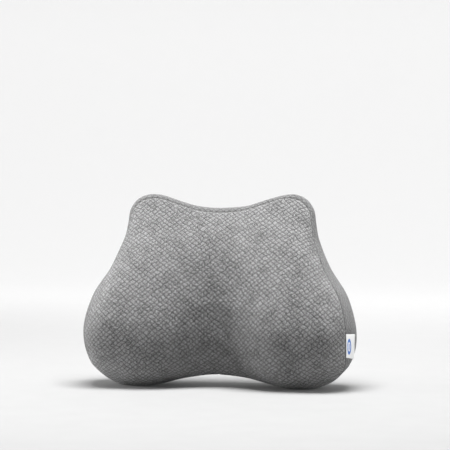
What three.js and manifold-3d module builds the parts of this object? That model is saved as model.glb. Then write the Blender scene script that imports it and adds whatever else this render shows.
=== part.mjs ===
// Lumbar support cushion with a removable zipped cover, standing on its two lower lobes.
// Millimetres, +Z up, +X to the right of someone facing the dished front, which looks along -Y.
// The origin is on the standing surface, under the middle of the whole object.
//
// The cushion is a wedge with a flat back. Every layer (cover, liner, foam) is the same skin at its own
// inset. A skin is made of rings round one outline: psi is the angle of the skin round the edge, 0 at the
// widest line of the edge, 90 where the front begins and -90 where the flat back begins.

import * as THREE from 'three';
import { mergeVertices } from 'three/addons/utils/BufferGeometryUtils.js';
import Module from 'manifold-3d';

const wasm = await Module();
wasm.setup();

// ---------------------------------------------------------------- driving dimensions

const SPOKES = 64;                    // points round every ring
const SKIN_CENTRE_Z = 140;            // the rings shrink towards this height on the centre line

// Right half of the outline seen from the front, from the dip in the top edge down to the arch.
const HALF_OUTLINE = [
  [0, 283], [41, 286.5], [76, 297], [107, 305], [131, 301], [147.5, 284], [156, 240], [176.5, 190],
  [206, 140], [219, 84], [208, 36], [174, 5], [133.5, -9], [87, 3], [46, 13], [0, 17.5],
];

// Thickness of the cushion on its centre line, from the flat back, as [height, thickness].
const WEDGE = [
  [0, 62], [45, 73], [85, 82], [120, 84], [160, 81], [200, 73], [230, 62], [248, 52], [285, 31],
  [310, 24],
];
const RIDGE_X = 104;                  // the two upright ridges beside the centre channel
// How far they stand above the channel, as [height, rise].
const RIDGE_RISE = [
  [0, 38], [45, 42], [85, 43], [120, 38], [160, 28], [200, 18], [230, 11], [248, 8], [285, 7],
];

const EDGE_DEPTH_LOW = 48;            // from the flat back to the widest line of the edge, on the lobes
const EDGE_DEPTH_TOP = 22;            // and at the ears
const LOBES_END = 110;                // below this height the edge is as on the lobes
const EARS_BEGIN = 275;               // and above this one as at the ears
const FRONT_ROUND_LOW = 58;           // how far in from the outline the front is rounded
const FRONT_ROUND_TOP = 27;
const BACK_ROUND_LOW = 30;            // and the back
const BACK_ROUND_TOP = 17;

// psi of the seam between front panel and gusset, as [height, psi]: it slips under at the lobes.
const FRONT_SEAM = [
  [0, 0], [10, 1], [23, 9], [38, 24], [56, 33], [75, 37], [100, 37], [140, 33], [180, 31], [230, 33],
  [275, 38], [310, 40],
];
const BACK_SEAM = -60;                // psi of the seam between gusset and back panels
const SEAM_GAP = 0.35;                // degrees of psi left open on each side of a seam

const COVER_THICKNESS = 2;
const LINER_INSET = 2.4;
const LINER_THICKNESS = 1;
const FOAM_INSET = 3.8;
const ZIP_ROOM = 2.6;                 // extra depth behind the back panels, for the zip's inner half

const ZIP_Z = 92;                     // height of the zip on the back
const TEETH_END = 150;                // the teeth run from -TEETH_END to +TEETH_END
const TEETH_PITCH = 3;                // from one tooth to the next of the same row
const TOOTH_WIDTH = 1.1;
const TEETH_START_UPPER = 0.3;        // from the row's end to its first tooth, above the centre line
const TEETH_START_LOWER = 1.6;        // and below it
const TEETH_REACH = 0.6;              // how far a tooth passes the zip's centre line
const TEETH_ROOT = 1;                 // from the centre line to the root of the teeth
const TEETH_OUTER = 1.6;              // and to the outer edge of their strip
const TEETH_THICKNESS = 1.8;
const TAPE_INNER = 1.9;
const TAPE_OUTER = 15;
const TAPE_THICKNESS = 0.5;
const TAPE_END = 162;
const ZIP_PLANE = 2.6;                // how deep the middle of the zip lies behind the back face
const SLOT_HALF_HEIGHT = 6;           // opening in the back panels round the teeth
const SLOT_END = 160;
const HALF_SEAM = 0.2;                // half the gap between the back panels beyond the opening
const BEYOND = 500;                   // further than the cushion reaches

const SLIDER_LENGTH = 10;
const SLIDER_WIDTH = 8.8;
const SLIDER_PLATE = 0.8;
const SLIDER_CAVITY = 1.2;            // from the zip plane to the inside of either plate
const SLIDER_CHANNEL = 2.1;           // half the width of the channel that the teeth run in
const SLIDER_TAPE_GAP = 0.6;          // from the zip plane to the flanges that hold the tape
const NECK_LENGTH = 2;
const NECK_WIDTH = 1.8;
const CROWN_LENGTH = 7.4;
const CROWN_WIDTH = 2.2;
const CROWN_BEAM = 0.8;
const CROWN_TOP = 2.4;                // above the back face
const PULL_AXIS = 0.75;               // height of the pull's bar above the back face
const PULL_THICKNESS = 0.8;
const PULL_LENGTH = 27;
const PULL_WIDTH = 7;
const PULL_WINDOW = [5.6, 3];         // length and height of the window that the crown stands in
const PULL_HOLE_RADIUS = 1.6;
const PULL_RAIL = 0.9;                // material on each side of the window
const PULL_SHOULDER = 1;              // from the window to where the pull starts to widen
const PULL_FLARE = 3;                 // length over which it widens
const STOP_LENGTH = 2;
const STOP_GAP = 0.3;
const STOP_INNER = 0.5;               // from the centre line to a top stop

const LABEL_LOW = 53;                 // side label: heights of its lower and upper edge
const LABEL_HIGH = 90;
const LABEL_WIDTH = 22;
const LABEL_THICKNESS = 0.5;
const LABEL_STANDOFF = 0.4;
const LABEL_SEAM_GAP = 1;             // degrees of psi from the front seam to the label
const LABEL_ROUND = 66;               // radius of the edge that the label lies on

// ---------------------------------------------------------------- materials

const cloth = (color) => new THREE.MeshStandardMaterial({ color, roughness: 0.95, metalness: 0 });
const metal = (color) => new THREE.MeshStandardMaterial({ color, roughness: 0.35, metalness: 1 });

const KNIT = cloth(0x9a9b9e);
const PLAIN_KNIT = cloth(0xa6a7aa);
const LINER = cloth(0xe8e6df);
const FOAM = cloth(0xf1ead2);
const TAPE = cloth(0x808185);
const LABEL = cloth(0xf4f5f6);
const TEETH = new THREE.MeshStandardMaterial({ color: 0x77787c, roughness: 0.5, metalness: 0 });
const ZIP_METAL = metal(0xb9bbbe);

// ---------------------------------------------------------------- small tools

const radians = THREE.MathUtils.degToRad;
const { lerp, smoothstep } = THREE.MathUtils;

// The value of a curve given as [position, value] points, eased between them.
function along(points, at) {
  let k = 1;
  while (k < points.length - 1 && at > points[k][0]) k += 1;
  const before = points[Math.max(k - 2, 0)];
  const [low, high] = [points[k - 1], points[k]];
  const after = points[Math.min(k + 1, points.length - 1)];
  const t = THREE.MathUtils.clamp((at - low[0]) / (high[0] - low[0]), 0, 1);
  const slopeLow = (high[1] - before[1]) / (high[0] - before[0]);
  const slopeHigh = (after[1] - low[1]) / (after[0] - low[0]);
  const span = high[0] - low[0];
  return (2 * t ** 3 - 3 * t ** 2 + 1) * low[1] + (t ** 3 - 2 * t ** 2 + t) * span * slopeLow
    + (3 * t ** 2 - 2 * t ** 3) * high[1] + (t ** 3 - t ** 2) * span * slopeHigh;
}

// A closed body from points and triangles, turned so that its faces look out.
function body(points, triangles) {
  let volume = 0;
  for (const [a, b, c] of triangles) volume += points[a].dot(points[b].clone().cross(points[c]));
  const faces = volume > 0 ? triangles : triangles.map(([a, b, c]) => [a, c, b]);
  const geometry = new THREE.BufferGeometry();
  geometry.setAttribute('position', new THREE.Float32BufferAttribute(points.flatMap((p) => p.toArray()), 3));
  geometry.setIndex(faces.flat());
  return geometry;
}

// Joins each ring of points to the next, and closes the ends with a middle point or end to end. Every
// ring has a rank, falling from the front to the back, so that all layers split their faces alike.
function loft(rings, { firstMiddle, lastMiddle, looped = false }) {
  const size = rings[0].length;
  const points = rings.flat();
  const triangles = [];
  const joins = looped ? rings.length : rings.length - 1;
  for (let r = 0; r < joins; r += 1) {
    const [ring, nextRing] = [rings[r], rings[(r + 1) % rings.length]];
    const [here, next] = [r * size, ((r + 1) % rings.length) * size];
    for (let i = 0; i < size; i += 1) {
      const j = (i + 1) % size;
      if (ring.rank > nextRing.rank) {
        triangles.push([here + i, here + j, next + j], [here + i, next + j, next + i]);
      } else {
        triangles.push([here + i, here + j, next + i], [here + j, next + j, next + i]);
      }
    }
  }
  for (const [middle, ring, flip] of [[firstMiddle, 0, true], [lastMiddle, rings.length - 1, false]]) {
    if (!middle) continue;
    points.push(middle);
    for (let i = 0; i < size; i += 1) {
      const [a, b] = [ring * size + i, ring * size + ((i + 1) % size)];
      triangles.push(flip ? [b, a, points.length - 1] : [a, b, points.length - 1]);
    }
  }
  return body(points, triangles);
}

function toSolid(geometry) {
  const bare = new THREE.BufferGeometry();
  bare.setAttribute('position', geometry.getAttribute('position').clone());
  if (geometry.index) bare.setIndex(geometry.index.clone());
  const merged = mergeVertices(bare, 1e-4);
  return new wasm.Manifold(new wasm.Mesh({
    numProp: 3,
    vertProperties: new Float32Array(merged.getAttribute('position').array),
    triVerts: new Uint32Array(merged.index.array),
  }));
}

function toGeometry(solid) {
  const mesh = solid.getMesh();
  const geometry = new THREE.BufferGeometry();
  geometry.setAttribute('position', new THREE.BufferAttribute(new Float32Array(mesh.vertProperties), 3));
  geometry.setIndex(new THREE.BufferAttribute(new Uint32Array(mesh.triVerts), 1));
  return geometry;
}

// A box given by its lowest and highest corner.
function box([x0, y0, z0], [x1, y1, z1]) {
  const geometry = new THREE.BoxGeometry(x1 - x0, y1 - y0, z1 - z0);
  return geometry.translate((x0 + x1) / 2, (y0 + y1) / 2, (z0 + z1) / 2);
}

const group = new THREE.Group();

function add(name, geometry, material) {
  geometry.computeVertexNormals();
  const mesh = new THREE.Mesh(geometry, material);
  mesh.name = name;
  group.add(mesh);
}

// ---------------------------------------------------------------- the skin

const leftHalf = HALF_OUTLINE.slice(1, -1).reverse().map(([x, z]) => [-x, z]);
const outline = new THREE.CatmullRomCurve3(
  [...HALF_OUTLINE, ...leftHalf].map(([x, z]) => new THREE.Vector3(x, 0, z)), true, 'centripetal',
);
outline.arcLengthDivisions = 1200;

// 0 on the lobes, 1 at the ears.
const towardsTop = (z) => smoothstep(z, LOBES_END, EARS_BEGIN);
const edgeDepth = (z) => lerp(EDGE_DEPTH_LOW, EDGE_DEPTH_TOP, towardsTop(z));

function thickness(x, z) {
  const ridge = (1 - Math.cos(Math.PI * Math.min(Math.abs(x) / RIDGE_X, 1))) / 2;
  return along(WEDGE, z) + ridge * along(RIDGE_RISE, z);
}

// A point of the outline at t, 0 to 1 round it, and how far the skin's middle lies from it.
function edge(t, inset) {
  const point = outline.getPointAt(t);
  const tangent = outline.getTangentAt(t);
  const inward = new THREE.Vector3(-tangent.z, 0, tangent.x);
  const towardsMiddle = new THREE.Vector3(0, 0, SKIN_CENTRE_Z).sub(point);
  if (inward.dot(towardsMiddle) < 0) inward.negate();
  const room = towardsMiddle.length() - inset;
  return { point: point.addScaledVector(inward, inset), room };
}

// The skin at angle psi round the edge, or past 90 on the front and past -90 on the back, where share
// runs from 0 at the rounding to 1 at the middle. The back face is y = 0 and the front is below it.
function skin(t, psi, share, { inset, backInset }) {
  const { point, room } = edge(t, inset);
  const front = psi > 0;
  const low = front ? FRONT_ROUND_LOW : BACK_ROUND_LOW;
  const top = front ? FRONT_ROUND_TOP : BACK_ROUND_TOP;
  const round = lerp(low, top, towardsTop(point.z)) - inset;
  const step = (round / room) * (1 - Math.cos(radians(psi)));
  const x = point.x * (1 - step) * (1 - share);
  const height = lerp(lerp(point.z, SKIN_CENTRE_Z, step), SKIN_CENTRE_Z, share);
  const middle = edgeDepth(height);
  const reach = front ? thickness(x, height) - middle - inset : middle - backInset;
  return new THREE.Vector3(x, -middle - reach * Math.sin(radians(psi)), Math.max(height, inset));
}

const layer = (inset, room = 0) => ({ inset, backInset: inset + room });

const frontSeam = (t) => along(FRONT_SEAM, outline.getPointAt(t).z);

// A ring whose place lies between the seams: 0 the front seam, -1 the back seam, 1 where the front
// begins, and from 1 to 2 over the front to its middle; shift moves it by some degrees of psi.
function ring(place, where, shift = 0) {
  const points = Array.from({ length: SPOKES }, (_, i) => {
    const t = i / SPOKES;
    const towards = place < 0 ? BACK_SEAM : 90;
    const psi = place < -1 ? -90 : lerp(frontSeam(t), towards, Math.min(Math.abs(place), 1)) + shift;
    return skin(t, psi, Math.max(place - 1, 0), where);
  });
  points.rank = place;
  return points;
}

const FRONT_PLACES = [0.33, 0.67, 1, 1.15, 1.32, 1.5, 1.72];
const GUSSET_PLACES = [-0.25, -0.5, -0.75];    // the liner's own seam runs along the middle one
const BACK_EDGE = -2;                 // the ring where the flat back begins

const rings = (places, where) => places.map((place) => ring(place, where));
const frontMiddle = (where) => skin(0, 90, 1, where);
const backMiddle = (where) => skin(0, -90, 1, where);

// A panel of cloth between two layers of the skin, its rings given from its edge to its middle.
function panel(ringsOf, middle, outer, inner) {
  return loft([...ringsOf(outer).reverse(), ...ringsOf(inner)], {
    firstMiddle: middle(outer), lastMiddle: middle(inner),
  });
}

// ---------------------------------------------------------------- foam and liner

const foam = layer(FOAM_INSET, ZIP_ROOM);
const linerOut = layer(LINER_INSET, ZIP_ROOM);
const linerIn = layer(LINER_INSET + LINER_THICKNESS, ZIP_ROOM);

add('foam_core', loft(
  rings([...FRONT_PLACES.toReversed(), 0, ...GUSSET_PLACES, -1, BACK_EDGE], foam),
  { firstMiddle: frontMiddle(foam), lastMiddle: backMiddle(foam) },
), FOAM);

const linerFront = (where) => [
  ring(GUSSET_PLACES[1], where, SEAM_GAP), ...rings([GUSSET_PLACES[0], 0, ...FRONT_PLACES], where),
];
const linerBack = (where) => [
  ring(GUSSET_PLACES[1], where, -SEAM_GAP), ...rings([GUSSET_PLACES[2], -1, BACK_EDGE], where),
];
add('liner_front', panel(linerFront, frontMiddle, linerOut, linerIn), LINER);
add('liner_back', panel(linerBack, backMiddle, linerOut, linerIn), LINER);

// ---------------------------------------------------------------- cover

const coverOut = layer(0);
const coverIn = layer(COVER_THICKNESS);

const frontPanel = (where) => [ring(0, where, SEAM_GAP), ...rings(FRONT_PLACES, where)];
add('cover_front_panel', panel(frontPanel, frontMiddle, coverOut, coverIn), KNIT);

const gusset = (where) => [
  ring(0, where, -SEAM_GAP), ...rings(GUSSET_PLACES, where), ring(-1, where, SEAM_GAP),
];
add('cover_gusset', loft([...gusset(coverOut), ...gusset(coverIn).reverse()], { looped: true }), PLAIN_KNIT);

const backPanel = (where) => [ring(-1, where, -SEAM_GAP), ring(BACK_EDGE, where)];
const wholeBack = toSolid(panel(backPanel, backMiddle, coverOut, coverIn));
const slot = toSolid(box(
  [-SLOT_END, -BEYOND, ZIP_Z - SLOT_HALF_HEIGHT], [SLOT_END, BEYOND, ZIP_Z + SLOT_HALF_HEIGHT],
));
const half = (low, high) => toSolid(box([-BEYOND, -BEYOND, low], [BEYOND, BEYOND, high]));
const upperHalf = wholeBack.intersect(half(ZIP_Z + HALF_SEAM, BEYOND)).subtract(slot);
const lowerHalf = wholeBack.intersect(half(-BEYOND, ZIP_Z - HALF_SEAM)).subtract(slot);
add('cover_back_upper', toGeometry(upperHalf), PLAIN_KNIT);
add('cover_back_lower', toGeometry(lowerHalf), PLAIN_KNIT);

// ---------------------------------------------------------------- zip, closed

const zipY = (height) => height - ZIP_PLANE;    // height above the zip's own plane

// One row of teeth: a strip with teeth that reach over the centre line, side 1 above and -1 below.
function teeth(side) {
  const shape = new THREE.Shape();
  const count = Math.floor((2 * TEETH_END) / TEETH_PITCH);
  shape.moveTo(-TEETH_END, side * TEETH_OUTER);
  shape.lineTo(-TEETH_END, side * TEETH_ROOT);
  for (let k = 0; k < count; k += 1) {
    const start = -TEETH_END + k * TEETH_PITCH + (side > 0 ? TEETH_START_UPPER : TEETH_START_LOWER);
    shape.lineTo(start, side * TEETH_ROOT);
    shape.lineTo(start, -side * TEETH_REACH);
    shape.lineTo(start + TOOTH_WIDTH, -side * TEETH_REACH);
    shape.lineTo(start + TOOTH_WIDTH, side * TEETH_ROOT);
  }
  shape.lineTo(TEETH_END, side * TEETH_ROOT);
  shape.lineTo(TEETH_END, side * TEETH_OUTER);
  const geometry = new THREE.ExtrudeGeometry(shape, { depth: TEETH_THICKNESS, bevelEnabled: false });
  geometry.rotateX(Math.PI / 2);
  return geometry.translate(0, zipY(TEETH_THICKNESS / 2), ZIP_Z);
}

// A box on the zip: along it, across it from its centre line, and through it from its own plane.
function onZip([x0, x1], [across0, across1], [through0, through1]) {
  return box([x0, zipY(through0), ZIP_Z + across0], [x1, zipY(through1), ZIP_Z + across1]);
}

const halfTape = TAPE_THICKNESS / 2;
const halfTeeth = TEETH_THICKNESS / 2;
const neckStart = TEETH_END + STOP_GAP;
const sliderFront = neckStart + NECK_LENGTH;
const sliderBack = sliderFront - SLIDER_LENGTH;
const sliderMiddle = (sliderFront + sliderBack) / 2;

for (const [name, side] of [['upper', 1], ['lower', -1]]) {
  const sorted = (a, b) => (side > 0 ? [a, b] : [-b, -a]);
  const tapeAcross = sorted(TAPE_INNER, TAPE_OUTER);
  add(`zip_tape_${name}`, onZip([-TAPE_END, TAPE_END], tapeAcross, [-halfTape, halfTape]), TAPE);
  add(`zip_teeth_${name}`, teeth(side), TEETH);
  add(`zip_top_stop_${name}`, onZip(
    [sliderFront + STOP_GAP, sliderFront + STOP_GAP + STOP_LENGTH],
    sorted(STOP_INNER, TEETH_OUTER), [-halfTeeth, halfTeeth],
  ), ZIP_METAL);
}
add('zip_bottom_stop', onZip(
  [-TEETH_END - STOP_GAP - STOP_LENGTH, -TEETH_END - STOP_GAP],
  [-TEETH_OUTER, TEETH_OUTER], [-halfTeeth, halfTeeth],
), ZIP_METAL);

// Slider: two plates with flanges towards the tapes, a neck at the leading end, and a crown on top.
function slider() {
  const along0 = [sliderBack, sliderFront];
  const halfWidth = SLIDER_WIDTH / 2;
  const plateOut = SLIDER_CAVITY + SLIDER_PLATE;
  const pieces = [onZip([neckStart, sliderFront], [-NECK_WIDTH / 2, NECK_WIDTH / 2], [-plateOut, plateOut])];
  for (const face of [1, -1]) {
    const through = (a, b) => (face > 0 ? [a, b] : [-b, -a]);
    pieces.push(onZip(along0, [-halfWidth, halfWidth], through(SLIDER_CAVITY, plateOut)));
    for (const across of [[SLIDER_CHANNEL, halfWidth], [-halfWidth, -SLIDER_CHANNEL]]) {
      pieces.push(onZip(along0, across, through(SLIDER_TAPE_GAP, plateOut)));
    }
  }
  const crownTop = CROWN_TOP + ZIP_PLANE;
  const crownEnds = [sliderMiddle - CROWN_LENGTH / 2, sliderMiddle + CROWN_LENGTH / 2];
  const crownAcross = [-CROWN_WIDTH / 2, CROWN_WIDTH / 2];
  pieces.push(onZip(crownEnds, crownAcross, [crownTop - CROWN_BEAM, crownTop]));
  const posts = [[crownEnds[0], crownEnds[0] + CROWN_BEAM], [crownEnds[1] - CROWN_BEAM, crownEnds[1]]];
  for (const post of posts) {
    pieces.push(onZip(post, crownAcross, [plateOut - SLIDER_PLATE / 2, crownTop]));
  }
  return toGeometry(pieces.map(toSolid).reduce((sum, piece) => sum.add(piece)));
}
add('zip_slider', slider(), ZIP_METAL);

// Pull tab: a flat tongue whose bar lies in the crown, trailing towards the closed teeth.
function pull() {
  const bar = PULL_THICKNESS / 2;
  const shape = new THREE.Shape();
  const halfWidth = PULL_WIDTH / 2;
  const narrow = PULL_WINDOW[1] / 2 + PULL_RAIL;
  const shoulder = -PULL_WINDOW[0] - PULL_SHOULDER;
  const widest = shoulder - PULL_FLARE;
  shape.moveTo(bar, -narrow);
  shape.lineTo(bar, narrow);
  shape.lineTo(shoulder, narrow);
  shape.lineTo(widest, halfWidth);
  shape.absarc(-PULL_LENGTH + halfWidth, 0, halfWidth, Math.PI / 2, (3 * Math.PI) / 2, false);
  shape.lineTo(widest, -halfWidth);
  shape.lineTo(shoulder, -narrow);
  const window = new THREE.Path();
  const inside = PULL_WINDOW[1] / 2;
  window.moveTo(-bar, -inside);
  window.lineTo(-PULL_WINDOW[0], -inside);
  window.lineTo(-PULL_WINDOW[0], inside);
  window.lineTo(-bar, inside);
  const hole = new THREE.Path();
  hole.absarc(-PULL_LENGTH + halfWidth, 0, PULL_HOLE_RADIUS, 0, 2 * Math.PI, true);
  shape.holes.push(window, hole);
  const geometry = new THREE.ExtrudeGeometry(shape, {
    depth: PULL_THICKNESS, bevelEnabled: false, curveSegments: 8,
  });
  geometry.rotateX(Math.PI / 2);
  return geometry.translate(sliderMiddle, PULL_AXIS + PULL_THICKNESS / 2, ZIP_Z);
}
add('zip_pull', pull(), ZIP_METAL);

// ---------------------------------------------------------------- side label

// The place of a height on the right side of the outline, found by halving.
function rightSide(z) {
  let [high, low] = [0.16, 0.36];
  for (let k = 0; k < 40; k += 1) {
    const middle = (high + low) / 2;
    if (outline.getPointAt(middle).z > z) high = middle;
    else low = middle;
  }
  return (high + low) / 2;
}

// A thin patch that leaves the front seam and lies back over the gusset.
function label() {
  const rows = 4;
  const columns = 4;
  const degreesWide = LABEL_WIDTH / radians(LABEL_ROUND);
  const sheet = (standoff) => Array.from({ length: rows + 1 }, (_, r) => {
    const t = rightSide(lerp(LABEL_LOW, LABEL_HIGH, r / rows));
    return Array.from({ length: columns + 1 }, (__, c) => (
      skin(t, frontSeam(t) - LABEL_SEAM_GAP - (degreesWide * c) / columns, 0, layer(-standoff))
    ));
  }).flat();
  const points = [...sheet(LABEL_STANDOFF), ...sheet(LABEL_STANDOFF + LABEL_THICKNESS)];
  const width = columns + 1;
  const count = width * (rows + 1);
  const triangles = [];
  const quad = (a, b, c, d) => triangles.push([a, b, c], [a, c, d]);
  for (let r = 0; r < rows; r += 1) {
    for (let c = 0; c < columns; c += 1) {
      const a = r * width + c;
      quad(a, a + 1, a + width + 1, a + width);
      quad(count + a, count + a + width, count + a + width + 1, count + a + 1);
    }
    const edges = [[r * width, (r + 1) * width], [(r + 2) * width - 1, (r + 1) * width - 1]];
    for (const [a, b] of edges) quad(a, b, count + b, count + a);
  }
  for (let c = 0; c < columns; c += 1) {
    const last = rows * width + c;
    quad(c + 1, c, count + c, count + c + 1);
    quad(last, last + 1, count + last + 1, count + last);
  }
  return body(points, triangles);
}
add('side_label', label(), LABEL);

// ---------------------------------------------------------------- placing

const extent = new THREE.Box3().setFromObject(group);
group.position.y = -(extent.min.y + extent.max.y) / 2;
group.updateMatrixWorld(true);

export default group;
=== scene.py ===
"""Looks of the lumbar support cushion: a tight knit cover over foam, with a zip across its flat back.

The frame's foam core is made of rings from the middle of the front to the middle of the back. The cover's
skin is the smooth surface through those rings, moved out to where the CAD cover lies. It is laid out as a
front panel, a gusset round the edge and a back, padded out by a cloth simulation, and refined into panels
with their knit, seams and stitches. Lengths are in metres unless a name ends in _MM.
"""

import math
from functools import partialmethod

import bmesh
import bpy
import numpy as np
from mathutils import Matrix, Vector
from mathutils.bvhtree import BVHTree
from mathutils.kdtree import KDTree


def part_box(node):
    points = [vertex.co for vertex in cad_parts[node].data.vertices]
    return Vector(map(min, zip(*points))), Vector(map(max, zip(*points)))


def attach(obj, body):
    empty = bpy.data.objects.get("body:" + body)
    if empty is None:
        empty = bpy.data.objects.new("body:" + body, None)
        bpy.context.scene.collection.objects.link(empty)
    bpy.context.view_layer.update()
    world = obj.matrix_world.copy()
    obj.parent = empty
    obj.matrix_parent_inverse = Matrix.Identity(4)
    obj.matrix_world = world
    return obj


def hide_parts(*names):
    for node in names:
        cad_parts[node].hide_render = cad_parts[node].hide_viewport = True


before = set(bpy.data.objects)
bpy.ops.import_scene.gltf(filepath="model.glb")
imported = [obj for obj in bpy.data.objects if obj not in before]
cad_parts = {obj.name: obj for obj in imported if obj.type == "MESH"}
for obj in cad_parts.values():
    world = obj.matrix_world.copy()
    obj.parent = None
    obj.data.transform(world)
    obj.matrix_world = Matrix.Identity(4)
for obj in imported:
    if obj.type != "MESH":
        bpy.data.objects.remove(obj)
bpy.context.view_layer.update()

MM = 0.001
TURN = 2 * math.pi
SEED = 7
MERGE = 2e-6               # points of a CAD mesh closer than this are one

# ------------------------------------------------------------------ sizes

ACROSS = 80                # cells of the coarse front and back grids, across and up
UP = 56
ROUND = 12                 # cells of the gusset from the front seam to the back seam
FINER = 4                  # every coarse cell becomes this many fine cells each way
GUSSET_FINER = 3           # but this many from the gusset's back seam to its front seam
BACK_FINER = 8             # and this many up the back
RING_STEPS = 12            # steps of the smooth skin between two CAD rings
SPOKE_STEPS = 8            # and between two CAD spokes
SEAM_SAMPLES = 800         # points of the front seam that the grids' rims are spaced along
RELAX_STEPS = 40           # rounds of evening out the front and back grids

SIM_SHRINK = 1.0 * MM      # the padding starts this far inside the skin
SIM_FRAMES = 20
SIM_HOLD = 0.14            # how firmly the foam holds the cloth, from 0 to 1
SIM_SEAM_HOLD = 0.9        # and how firmly its seams are held
SIM_CAP = 2.5 * MM         # the furthest that padding may move a point
SIM_CLOTH = {
    "quality": 6,
    "mass": 0.3,
    "tension_stiffness": 12,
    "compression_stiffness": 12,
    "shear_stiffness": 4,
    "bending_stiffness": 3,
    "use_pressure": True,
    "uniform_pressure_force": 3.0,
    "vertex_group_mass": "hold",
    "pin_stiffness": 1.0,
}

CLOTH = 1.8 * MM           # thickness of the cover's cloth
UNEVEN = 0.45 * MM         # how far the cloth strays from the foam
UNEVEN_LENGTH = 75 * MM
SEAM_DEPTH = 0.9 * MM      # how far a seam pulls the cloth in
SEAM_WIDTH = 2.6 * MM
PUCKER = 0.18 * MM         # gathers beside a seam
PUCKER_LENGTH = 11 * MM
PUCKER_REACH = 7 * MM

LATTICE_WIDE = 9.6 * MM    # one diamond of the front knit
LATTICE_TALL = 8.1 * MM
LATTICE_RELIEF = 0.7 * MM
LATTICE_WANDER = 0.9 * MM  # how far the lattice strays from a straight one
WANDER_LENGTH = 16 * MM
LATTICE_GROOVE = 0.34      # half width of a groove, in diamonds
LATTICE_TABLE = 97         # the diamonds' uneven heights repeat after this many

# ------------------------------------------------------------------ small tools


def unit(vectors):
    """Vectors scaled to length one."""
    return vectors / np.maximum(np.linalg.norm(vectors, axis=-1, keepdims=True), 1e-12)


def smooth(values):
    """0 to 1 eased at both ends."""
    t = np.clip(values, 0, 1)
    return t * t * (3 - 2 * t)


def on_floor(points):
    """Points kept above the floor."""
    points = points.copy()
    points[..., 2] = np.maximum(points[..., 2], 0)
    return points


def catmull_rom(t):
    """Weights of the four points round a gap that give the smooth curve's point at t across it."""
    return (
        (-t + 2 * t**2 - t**3) / 2,
        (2 - 5 * t**2 + 3 * t**3) / 2,
        (t + 4 * t**2 - 3 * t**3) / 2,
        (-(t**2) + t**3) / 2,
    )


def cubic_weights(count, finer):
    """Rows of weights that put finer - 1 points between each two of count points."""
    rows = np.zeros(((count - 1) * finer + 1, count))
    for k, row in enumerate(rows):
        cell = min(k // finer, count - 2)
        for at, weight in zip(range(cell - 1, cell + 3), catmull_rom(k / finer - cell)):
            if 0 <= at < count:
                row[at] += weight
            else:                            # beyond the ends the points run on straight
                end, inner = (0, 1) if at < 0 else (count - 1, count - 2)
                row[end] += 2 * weight
                row[inner] -= weight
    return rows


def refine(grid, finer_rows, finer_columns):
    """A grid of points (rows, columns, 3) with more points between, on smooth curves."""
    rows = cubic_weights(grid.shape[0], finer_rows)
    columns = cubic_weights(grid.shape[1], finer_columns)
    return np.tensordot(columns, np.tensordot(rows, grid, (1, 0)), (1, 1)).transpose(1, 0, 2)


def refine_loop(grid, finer_rows, finer_columns):
    """The same for a grid whose last column joins its first."""
    pad = 3
    wrapped = np.concatenate([grid[:, -pad:], grid, grid[:, : pad + 1]], axis=1)
    fine = refine(wrapped, finer_rows, finer_columns)
    return fine[:, pad * finer_columns : (pad + grid.shape[1]) * finer_columns]


def grid_normals(grid, looped=False):
    """Unit normals of a grid of points: columns run to the right and rows run up, seen from outside."""
    if looped:
        across = np.roll(grid, -1, axis=1) - np.roll(grid, 1, axis=1)
    else:
        across = np.gradient(grid, axis=1)
    return unit(np.cross(across, np.gradient(grid, axis=0)))


def waves(points, length, seed):
    """Smooth noise, about -1 to 1, from tilted sine waves of roughly that length."""
    rng = np.random.default_rng(SEED + seed)
    total = np.zeros(points.shape[:-1])
    count = 12
    for _ in range(count):
        direction = unit(rng.normal(size=3))
        scale = rng.uniform(0.7, 1.6)
        total += np.sin(points @ direction * (TURN * scale / length) + rng.uniform(0, TURN))
    return total / count**0.5


def run_length(line):
    """Distance along a line of points from its first."""
    return np.concatenate([[0], np.cumsum(np.linalg.norm(np.diff(line, axis=0), axis=1))])


def part_way(at, lengths, values):
    """The points or normals of a line at some distances from its start."""
    return np.stack([np.interp(at, lengths, values[:, k]) for k in range(3)], axis=-1)


def numbers(rows, columns, first=0):
    """A grid of point numbers."""
    return first + np.arange(rows * columns).reshape(rows, columns)


def wrap(grid):
    """A looped grid with its first column repeated at its end."""
    return np.concatenate([grid, grid[:, :1]], axis=1)


def quads(index, flipped=False):
    """Faces of a grid of point numbers, seen from outside with its rows running up, or else flipped."""
    faces = []
    for low, high in zip(index[:-1], index[1:]):
        if flipped:
            faces += zip(low[1:], low[:-1], high[:-1], high[1:])
        else:
            faces += zip(low[:-1], low[1:], high[1:], high[:-1])
    return faces


def tube(rings):
    """Faces of a closed tube from the point numbers of its rings."""
    return [*quads(wrap(rings)), rings[0, ::-1], rings[-1]]


def place(name, data):
    """A new object in the scene."""
    thing = bpy.data.objects.new(name, data)
    bpy.context.scene.collection.objects.link(thing)
    return thing


def new_mesh(name, points, faces, maps=None):
    """A smooth-shaded piece from points and faces, with named uv maps that give a uv for each point."""
    mesh = bpy.data.meshes.new(name)
    mesh.from_pydata(np.asarray(points).tolist(), [], [tuple(map(int, f)) for f in faces])
    mesh.polygons.foreach_set("use_smooth", [True] * len(mesh.polygons))
    loops = np.zeros(len(mesh.loops), np.int32)
    mesh.loops.foreach_get("vertex_index", loops)
    for label, values in (maps or {}).items():
        uv_map = mesh.uv_layers.new(name=label)
        uv_map.data.foreach_set("uv", np.asarray(values, np.float32)[loops].ravel())
    mesh.update()
    return place(name, mesh)


def cad_mesh(node):
    """A CAD piece's mesh with its doubled points merged."""
    mesh = bmesh.new()
    mesh.from_mesh(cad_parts[node].data)
    bmesh.ops.remove_doubles(mesh, verts=mesh.verts, dist=MERGE)
    return mesh


# ------------------------------------------------------------------ the frame's rings


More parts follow.
